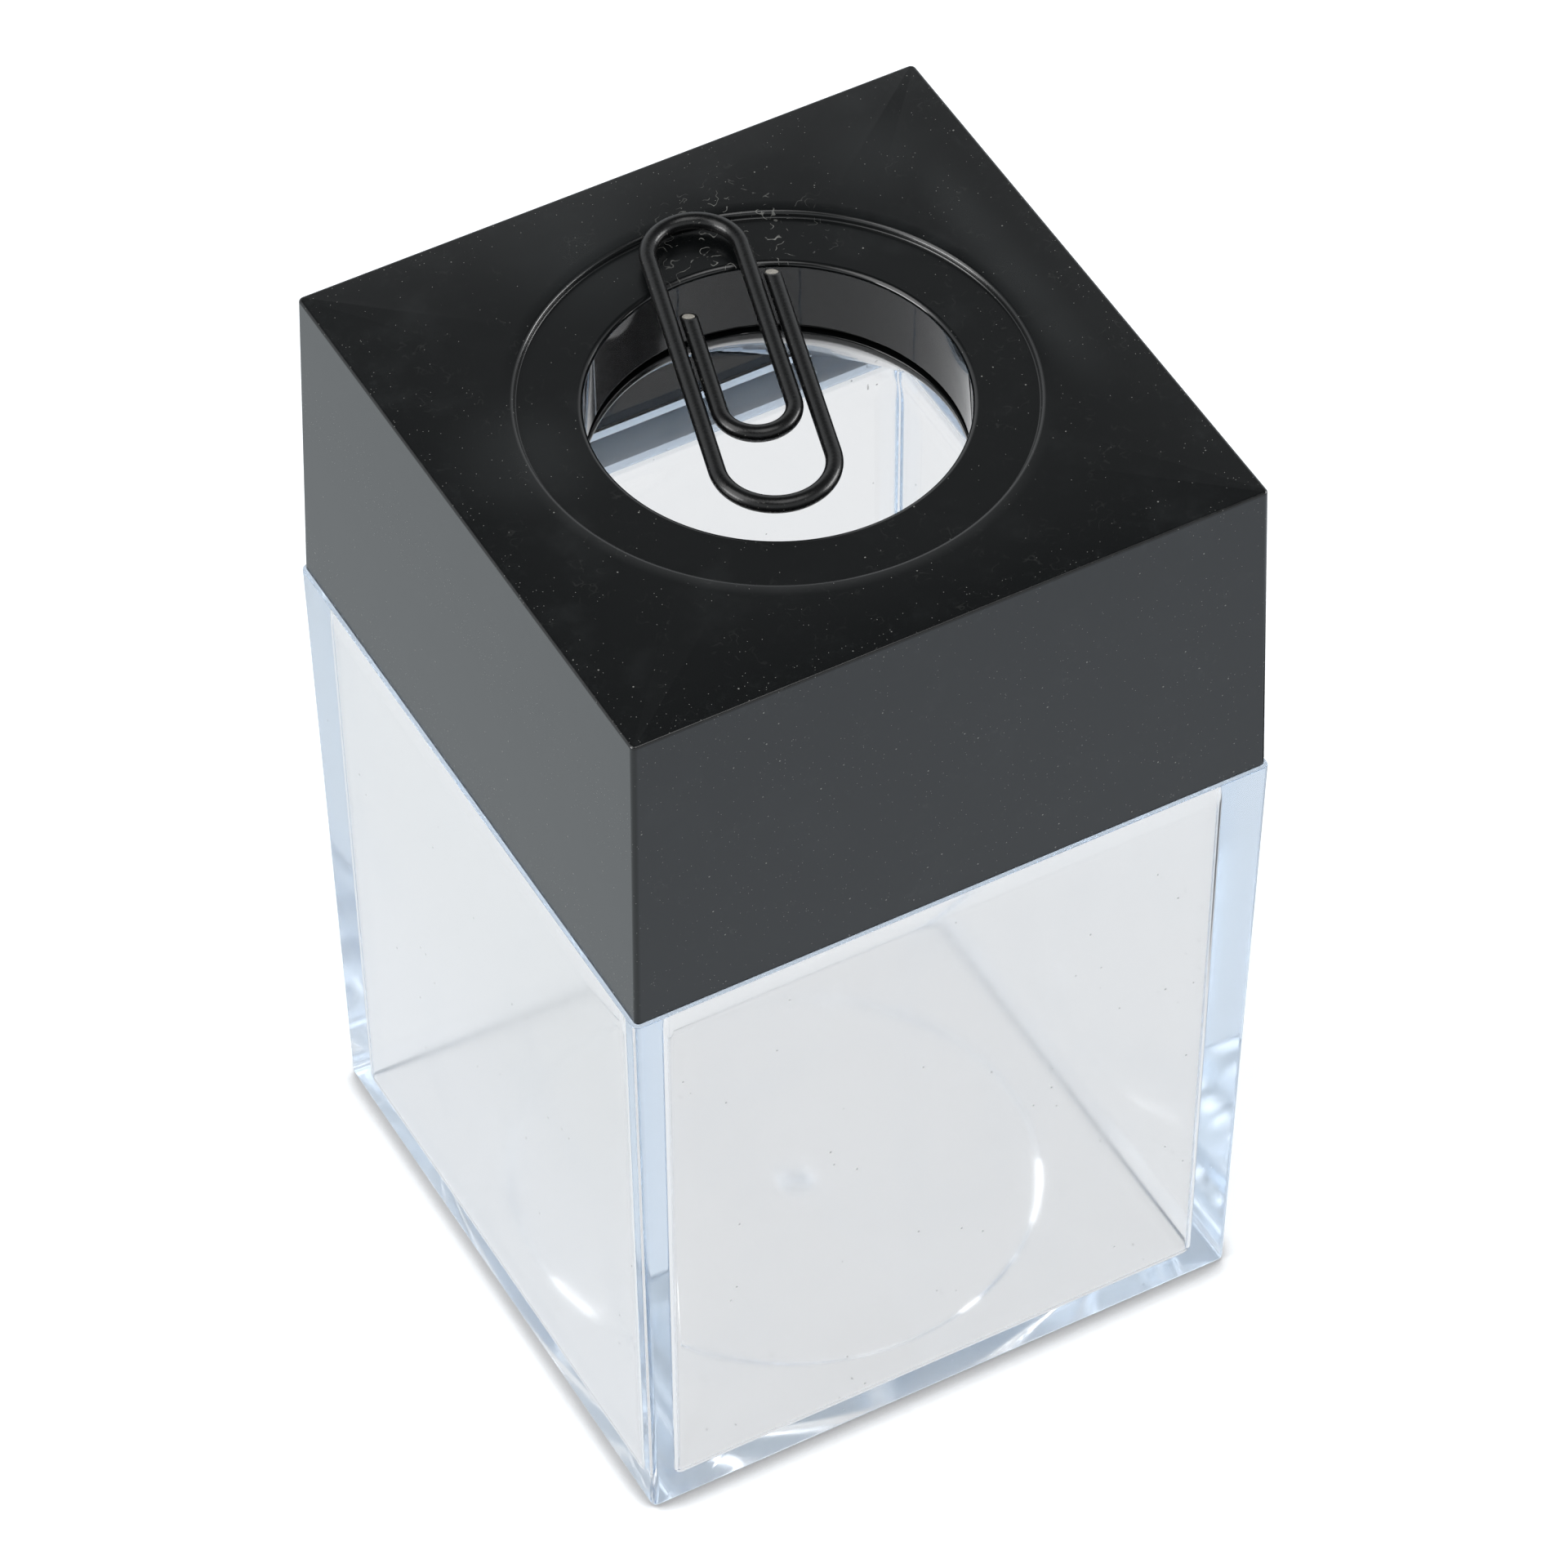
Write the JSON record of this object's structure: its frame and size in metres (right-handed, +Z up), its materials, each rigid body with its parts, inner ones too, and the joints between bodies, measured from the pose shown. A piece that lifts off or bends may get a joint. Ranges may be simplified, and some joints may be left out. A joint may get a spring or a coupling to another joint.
{
  "type": "magnetic paper clip holder",
  "caption": "Square desk box of clear plastic with a deep black lid; a ring magnet round the lid's round mouth holds paper clips at the opening.",
  "frame": {"origin": "centre of the container's foot, on the surface that it stands on", "axes": "+Z up through the lid's bore; X and Y square to the container's walls, the picture seen from -X and -Y"},
  "size_m": [0.0488, 0.0488, 0.08],
  "materials": {
    "clear_plastic": "clear, polished, faintly blue at its edges",
    "black_plastic": "black, satin to gloss",
    "ferrite": "dull dark grey",
    "clip_steel": "bare cut wire",
    "clip_vinyl": "black, soft sheen"
  },
  "bodies": {
    "container": {"container": "clear_plastic"},
    "lid": {"lid": "black_plastic", "ring_magnet": "ferrite", "magnet_retainer": "black_plastic"},
    "paper_clip": {"clip_wire": "clip_steel", "clip_coating": "clip_vinyl"}
  },
  "joints": [
    {"name": "lid_lift", "type": "slide", "parent": "container", "child": "lid", "axis": [0, 0, 1], "range_m": [0, 0.04]},
    {"name": "clip_pull", "type": "slide", "parent": "lid", "child": "paper_clip", "axis": [0, 0, 1], "range_m": [0, 0.03]}
  ]
}
